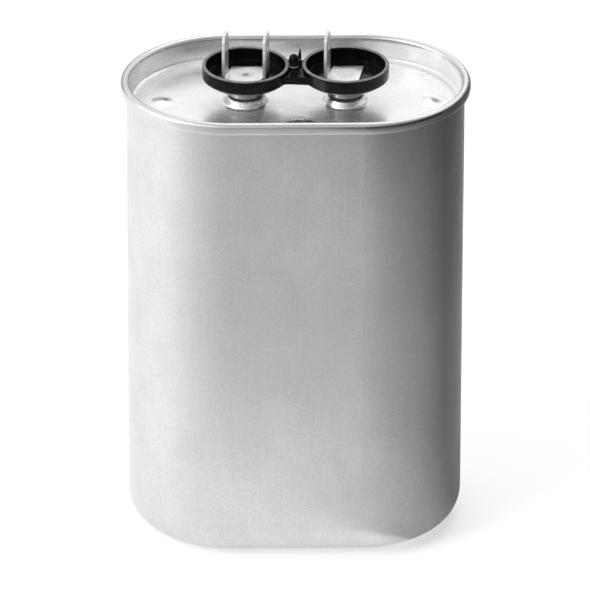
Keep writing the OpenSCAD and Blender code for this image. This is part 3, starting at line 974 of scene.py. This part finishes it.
def ramp(tree, length, start, end, low=0.0, high=1.0):
    """Goes from low to high while a length grows from start to end millimetres."""
    return between(tree, length, low, high, start * MM, end * MM)


def height_mask(tree, start, end):
    """0 below start and 1 above end, in millimetres."""
    return ramp(tree, split(tree, object_coords(tree))["Z"], start, end)


def around(tree, place, inner, outer):
    """0 within inner and 1 beyond outer millimetres of a place in millimetres."""
    away = add_node(tree, "ShaderNodeVectorMath", operation="DISTANCE")
    tree.links.new(object_coords(tree), away.inputs[0])
    away.inputs[1].default_value = Vector(place) * MM
    return ramp(tree, away.outputs["Value"], inner, outer)


def oval_coords(tree):
    """Coordinates that follow the oval: distance from the middle line, 0, and height."""
    spot = split(tree, object_coords(tree))
    past = less(tree, math_node(tree, "ABSOLUTE", spot["X"]), HALF_FLAT * MM)
    past = math_node(tree, "MAXIMUM", past, 0.0)
    square = plus(tree, times(tree, past, past), times(tree, spot["Y"], spot["Y"]))
    joined = add_node(tree, "ShaderNodeCombineXYZ")
    tree.links.new(math_node(tree, "SQRT", square), joined.inputs["X"])
    tree.links.new(spot["Z"], joined.inputs["Z"])
    return joined.outputs[0]


# %% [markdown]
# ### The can
# Deep-drawn aluminium is dull and even. Drawing leaves faint upright lines, the lubricant leaves a
# fine mottle, and handling leaves a few tiny dark specks. The lower edge, which slides on benches and
# shelves, is a little rougher than the wall.

# %% Drawn aluminium
GREY_RANGE = (0.38, 0.62)
SPECK_SCALE = 55.0
SPECK_EDGE = (0.008, 0.02)
SPECK_TONE = 0.55
SCUFF_HEIGHT = (3, 12)
SCUFF_ROUGH = 0.12

drawn, tree, shader = finish("drawn_aluminium", metallic=1.0)
mottle = grain(tree, (0.5, 0.5, 0.5), detail=3.0)
lines = grain(tree, (0.4, 0.4, 18), shift=3.0)
clouds = grain(tree, (9, 9, 14), shift=7.0)
mixed = blend(tree, (mottle, 0.55), (lines, 0.15), (clouds, 0.3))
specks = add_node(tree, "ShaderNodeTexVoronoi", Scale=SPECK_SCALE)
tree.links.new(object_coords(tree), specks.inputs["Vector"])
clean = between(tree, specks.outputs["Distance"], SPECK_TONE, 1.0, *SPECK_EDGE)
tone = times(tree, between(tree, mixed, 0.0, 1.0, *GREY_RANGE), clean)
feed(tree, shader, "Base Color", tint(tree, tone, (0.65, 0.65, 0.66), (0.76, 0.76, 0.77)))
low_down = less(tree, 1.0, height_mask(tree, *SCUFF_HEIGHT))
scuffed = times(tree, between(tree, grain(tree, (2, 2, 0.6), shift=5.0), 0.0, SCUFF_ROUGH), low_down)
feed(tree, shader, "Roughness", plus(tree, between(tree, mixed, 0.42, 0.34, *GREY_RANGE), scuffed))
bump(tree, shader, blend(tree, (mottle, 0.8), (lines, 0.2)), 6)
wear(nodes["can"], drawn)
print("can dressed in", drawn.name)

# %% [markdown]
# ### The lid
# Tinplate is brighter and smoother than the can. Rolling leaves fine lines along the strip, which runs
# along the lid, and the seaming rolls leave lines that follow the oval. The panel is thin, so it is never
# quite flat, and a slow bump makes its reflections waver.

# %% Tinplate patterns
PRESSED = (PANEL + 0.6, PANEL + 1.6)
SHEET_RANGE = (0.36, 0.64)

tinplate, tree, shader = finish("rolled_tinplate")
rolled = grain(tree, (24, 0.35, 0.35), detail=3.0)
smudge = grain(tree, (5, 5, 5), shift=4.0)
rings = grain(tree, (0.3, 1, 0.3), coords=oval_coords(tree), shift=2.0)
on_seam = height_mask(tree, *PRESSED)
on_panel = less(tree, 1.0, on_seam)
lines = plus(tree, times(tree, rings, on_seam), times(tree, rolled, on_panel))
mixed = blend(tree, (lines, 0.5), (smudge, 0.5))
tone = between(tree, mixed, 0.93, 1.0, *SHEET_RANGE)
feed(tree, shader, "Roughness", between(tree, mixed, 0.34, 0.22, *SHEET_RANGE))
waver = grain(tree, (17, 12, 17), detail=1.0, shift=9.0)
bump(tree, shader, blend(tree, (waver, 1.0), (lines, 0.015)), 130)
wear(lid, tinplate)
print("lid dressed in", tinplate.name)

# %% [markdown]
# A thin dark ring of painted shade lies around the solder bead, and a spot of painted shade lies beside
# the tip of each pip. The rolled rim is greyer than the panel, the wall grows darker towards the left
# end with painted shade, and a thin grey line of painted shade lies in the corner at the right end.

# %% Tones of the lid
# Each pair says where a mask starts and ends, in millimetres out from the middle line, up or along
RIM_OUT = (27.8, 28.6)
CURL_IN = (27.2, 27.7)
CURL_UP = (128.2, 129.0)
RIM_TONE = 0.68
LEFT_END = (-42, -22)
RIGHT_END = (14, 24)
LEFT_WALL_SHADE = 0.64
CREASE_OUT = ((24.5, 25.0), (25.2, 25.8))
CREASE_SHADE = 0.7
SHADE_HEIGHT = PANEL + 0.4
# place, tone in the middle, and the distances where a painted shade starts to fade and ends
PAINTED_SHADES = (
    (FILL, 0.4, 3.9, 4.4),
    ((PIPS[0] + 0.4, 0.6), 0.03, 0.6, 1.8),
    ((PIPS[1] + 1.6, -0.3), 0.15, 0.4, 2.0),
)

outward = split(tree, oval_coords(tree))["X"]
along = split(tree, object_coords(tree))["X"]
curl = times(tree, ramp(tree, outward, *CURL_IN, 1.0, 0.0), height_mask(tree, *CURL_UP))
on_rim = any_of(tree, [ramp(tree, outward, *RIM_OUT), curl])
on_wall = times(tree, on_seam, less(tree, 1.0, on_rim))
left_end = ramp(tree, along, *LEFT_END, 1.0, 0.0)
right_end = ramp(tree, along, *RIGHT_END)
# Painted shade: a thin grey line in the corner between wall and panel at the right end
crease = less(tree, ramp(tree, outward, *CREASE_OUT[0]), ramp(tree, outward, *CREASE_OUT[1]))
crease = times(tree, times(tree, crease, right_end), on_panel)
# Painted shade: a dark ring around the solder bead's foot and a dark spot beside each pip's tip
for (x, y), dark, inner, outer in PAINTED_SHADES:
    clean = around(tree, (x, y, SHADE_HEIGHT), inner, outer)
    tone = times(tree, tone, by_mask(tree, clean, dark, 1.0))
tone = times(tree, tone, by_mask(tree, on_rim, 1.0, RIM_TONE))
tone = times(tree, tone, by_mask(tree, crease, 1.0, CREASE_SHADE))
# Painted shade: the wall darkens towards the left end
tone = times(tree, tone, by_mask(tree, times(tree, on_wall, left_end), 1.0, LEFT_WALL_SHADE))
feed(tree, shader, "Base Color", tint(tree, tone, (0.18, 0.18, 0.18), (0.99, 0.99, 0.99)))
print("lid toned, with", len(PAINTED_SHADES), "painted_shades")

# %% [markdown]
# Pressing leaves the sheet frosted where it was drawn most: along the panel's margin, on the wall at the
# right end and on a patch of the wall behind the left cup. The corner at the left end stays bare and
# shines. Frost scatters light as paint does, so a frosted place has a lower Metallic value.

# %% Frost on the lid
PANEL_METAL = 0.85
MARGIN_OUT = (20, 24)
MARGIN_FROST = 0.6
CORNER_OUT = (25.0, 25.4)
CORNER_SHINE = 0.75
END_FROST = 0.85
PATCH_SIDES = ((-20, -14), (-6, 0))
PATCH_FROST = 0.55

corner = times(tree, left_end, ramp(tree, outward, *CORNER_OUT, 0.0, CORNER_SHINE))
panel_frost = less(tree, ramp(tree, outward, *MARGIN_OUT, 0.0, MARGIN_FROST), corner)
patch = times(tree, ramp(tree, along, *PATCH_SIDES[0]), ramp(tree, along, *PATCH_SIDES[1], 1.0, 0.0))
wall_frost = blend(tree, (right_end, END_FROST), (patch, PATCH_FROST))
frosted = plus(tree, times(tree, on_panel, panel_frost), times(tree, on_wall, wall_frost))
feed(tree, shader, "Metallic", less(tree, by_mask(tree, on_seam, PANEL_METAL, 1.0), frosted))
print("lid frosted from", MARGIN_OUT[0], "mm outwards")

# %% [markdown]
# ### The black moulding
# Moulded black plastic is glossy, with a skin like very fine orange peel. The lips of the cups are
# rougher, and their tops are painted grey as a painted highlight. The necks have a silvery bloom from the
# mould, and mirror the lid.

# %% Black plastic
LIP_TOP_BAND = (LIP + 0.1, LIP + 0.35)
LIP_END = (LIP + 0.55, LIP + 0.6)
LIP_ROUGH = 0.35
BLOOM_END = (CUP_BASE - 0.4, CUP_BASE - 0.1)
BLOOM_METAL = 0.6
PLASTIC_SHINE = 0.18

plastic, tree, shader = finish("black_plastic")
peel = grain(tree, (0.7, 0.7, 0.7), detail=1.0)
dust = grain(tree, (1.6, 1.6, 0.5), detail=4.0, shift=6.0)
on_lip = times(tree, height_mask(tree, *LIP_TOP_BAND), less(tree, 1.0, height_mask(tree, *LIP_END)))
# Painted highlight: the tops of the lips are painted grey
lip_highlight = times(tree, on_lip, between(tree, dust, 0.6, 1.0))
on_neck = less(tree, 1.0, height_mask(tree, *BLOOM_END))
paler = any_of(tree, [lip_highlight, on_neck])
feed(tree, shader, "Base Color", tint(tree, paler, (0.004, 0.004, 0.0045), (0.32, 0.32, 0.32)))
feed(tree, shader, "Metallic", times(tree, on_neck, BLOOM_METAL))
shader.inputs["Specular IOR Level"].default_value = PLASTIC_SHINE
rough = plus(tree, between(tree, dust, 0.1, 0.18), times(tree, on_lip, LIP_ROUGH))
feed(tree, shader, "Roughness", rough)
bump(tree, shader, peel, 4)
wear(moulding, plastic)
print("moulding dressed in", plastic.name)

# %% [markdown]
# ### Terminals, rivets and solder
# The strip is tinned before it is stamped, so its faces are satin with fine lines, and the tabs are
# darker and less metallic than the plate. Its sheared edges, and the faces on the tabs that look up, get
# a pale finish that is a painted highlight. The edge faces are found by their normals: they look along
# the strip's width or up.

# %% Tinned strip
TAB_START = (PLATE_TOP + 0.3, PLATE_TOP + 0.9)
TAB_TONE = 0.25
TAB_METAL = 0.5

tin, tree, shader = finish("tinned_strip")
streaks = grain(tree, (0.3, 0.3, 7), detail=3.0)
patches = grain(tree, (2.2, 2.2, 2.2), shift=3.0)
mixed = blend(tree, (streaks, 0.5), (patches, 0.5))
on_tab = height_mask(tree, *TAB_START)
tone = times(tree, between(tree, mixed, 0.75, 1.0), by_mask(tree, on_tab, 1.0, TAB_TONE))
feed(tree, shader, "Base Color", tint(tree, tone, (0.32, 0.32, 0.32), (0.88, 0.88, 0.87)))
feed(tree, shader, "Metallic", by_mask(tree, on_tab, 1.0, TAB_METAL))
feed(tree, shader, "Roughness", between(tree, mixed, 0.42, 0.26))
bump(tree, shader, streaks, 5)
print("strip finish", tin.name)

# %% Sheared edges
EDGE_METAL = 0.5
EDGE_SIDEWAYS = 0.35
EDGE_UPWARDS = 0.2
EDGE_BASE = PLATE_TOP + 0.2

# Painted highlight: a pale finish for the edge faces and the faces that look up
edge_highlight, tree, shader = finish("sheared_edge_highlight", metallic=EDGE_METAL)
tears = grain(tree, (0.25, 0.25, 0.8), detail=3.0)
torn = tint(tree, between(tree, tears, 0.0, 1.0), (0.8, 0.8, 0.79), (0.93, 0.93, 0.92))
feed(tree, shader, "Base Color", torn)
feed(tree, shader, "Roughness", between(tree, tears, 0.32, 0.2))
bump(tree, shader, tears, 8)

width_way = Vector((math.sin(SLANT), math.cos(SLANT), 0))
for piece in (left_fork, right_tab):
    wear(piece, tin, edge_highlight)
    for face in piece.data.polygons:
        edge_on = abs(face.normal.dot(width_way)) > EDGE_SIDEWAYS or face.normal.z > EDGE_UPWARDS
        face.material_index = 1 if edge_on and face.center.z > EDGE_BASE * MM else 0
print("terminals dressed in", tin.name, "and", edge_highlight.name)

# %% [markdown]
# The rivets are tinned too. The dimple of the left one carries painted shade: its finish darkens and
# grows rougher towards a point in the middle of that dimple.

# %% Rivet finish
DIMPLE_SHADE_R = (0.5, 1.3)

pin, tree, shader = finish("tinned_rivet", metallic=1.0)
turned = grain(tree, (0.5, 0.5, 0.5), detail=3.0)
# Painted shade in the left dimple, darkest at its middle
clean = around(tree, (TERMINALS[0], 0, PLATE_TOP), *DIMPLE_SHADE_R)
shine = times(tree, between(tree, turned, 0.7, 1.0), clean)
feed(tree, shader, "Base Color", tint(tree, shine, (0.3, 0.3, 0.3), (0.8, 0.8, 0.79)))
feed(tree, shader, "Roughness", by_mask(tree, shine, 0.6, 0.34))
bump(tree, shader, turned, 6)
for side in ("left", "right"):
    wear(bpy.data.objects[side + "_rivet_pin"], pin)
print("rivets dressed in", pin.name)

# %% [markdown]
# Solder freezes in small crystals, which give the bead a bright but uneven sheen. One fine grain stands
# for them, and a dark crystal is also a rough and a low one.

# %% Solder
solder, tree, shader = finish("frozen_solder", metallic=1.0)
crystals = grain(tree, (0.6, 0.6, 0.6), detail=4.0)
frozen = tint(tree, between(tree, crystals, 0.0, 1.0), (0.74, 0.74, 0.75), (0.93, 0.93, 0.94))
feed(tree, shader, "Base Color", frozen)
feed(tree, shader, "Roughness", between(tree, crystals, 0.3, 0.16))
bump(tree, shader, crystals, 4)
wear(bead, solder)
print("bead dressed in", solder.name)

# %% [markdown]
# ### Seals and the pieces inside
# The rest is hidden in the sealed can or shows only as a thin line, but a part may be taken apart in
# another scene, so each piece still has its own finish: one grain that sets colour, roughness and bump.

# %% Hidden finishes
# name: dark colour, light colour, roughness range, grain in mm, bump in microns, metallic, nodes
HIDDEN = {
    "black_rubber": ((0.012,) * 3, (0.03,) * 3, (0.6, 0.85), (0.4, 0.4, 0.4), 12, 0.0,
                     ("left_seal", "right_seal")),
    "lining_compound": ((0.36, 0.28, 0.18), (0.5, 0.4, 0.27), (0.5, 0.7), (0.6, 0.6, 0.6), 10, 0.0,
                        ("seam_compound",)),
    "pressed_board": ((0.2, 0.11, 0.05), (0.36, 0.22, 0.11), (0.45, 0.65), (0.8, 0.8, 0.15), 14, 0.0,
                      ("left_bushing", "right_bushing")),
    "rolled_brass": ((0.55, 0.4, 0.17), (0.76, 0.59, 0.3), (0.22, 0.4), (4, 0.2, 0.2), 4, 1.0,
                     ("left_lug", "right_lug")),
    "copper_strip": ((0.55, 0.28, 0.17), (0.78, 0.47, 0.31), (0.24, 0.42), (0.3, 0.3, 6), 4, 1.0,
                     ("left_lead", "right_lead")),
    "natural_plastic": ((0.7, 0.68, 0.6), (0.85, 0.83, 0.76), (0.4, 0.55), (3, 3, 3), 8, 0.0,
                        ("upper_spacer", "lower_cradle")),
    "sprayed_zinc": ((0.26, 0.27, 0.29), (0.5, 0.51, 0.53), (0.6, 0.85), (0.5, 0.5, 0.5), 90, 1.0,
                     ("upper_spray", "lower_spray")),
    "wound_film": ((0.4, 0.42, 0.46), (0.6, 0.62, 0.65), (0.2, 0.32), (0.25, 1, 60), 5, 0.0,
                   ("winding",)),
    "oiled_paper": ((0.46, 0.34, 0.19), (0.66, 0.52, 0.33), (0.45, 0.7), (1.5, 1.5, 0.4), 10, 0.0,
                    ("winding_wrap",)),
}
for name, (dark, light, rough, size, microns, metallic, wearers) in HIDDEN.items():
    material, tree, shader = finish(name, metallic)
    coords = oval_coords(tree) if name == "wound_film" else None
    pattern = grain(tree, size, detail=3.0, coords=coords)
    feed(tree, shader, "Base Color", tint(tree, between(tree, pattern, 0.0, 1.0), dark, light))
    feed(tree, shader, "Roughness", between(tree, pattern, rough[1], rough[0]))
    bump(tree, shader, pattern, microns)
    for wearer in wearers:
        wear(nodes[wearer], material)
print("hidden finishes", len(HIDDEN))
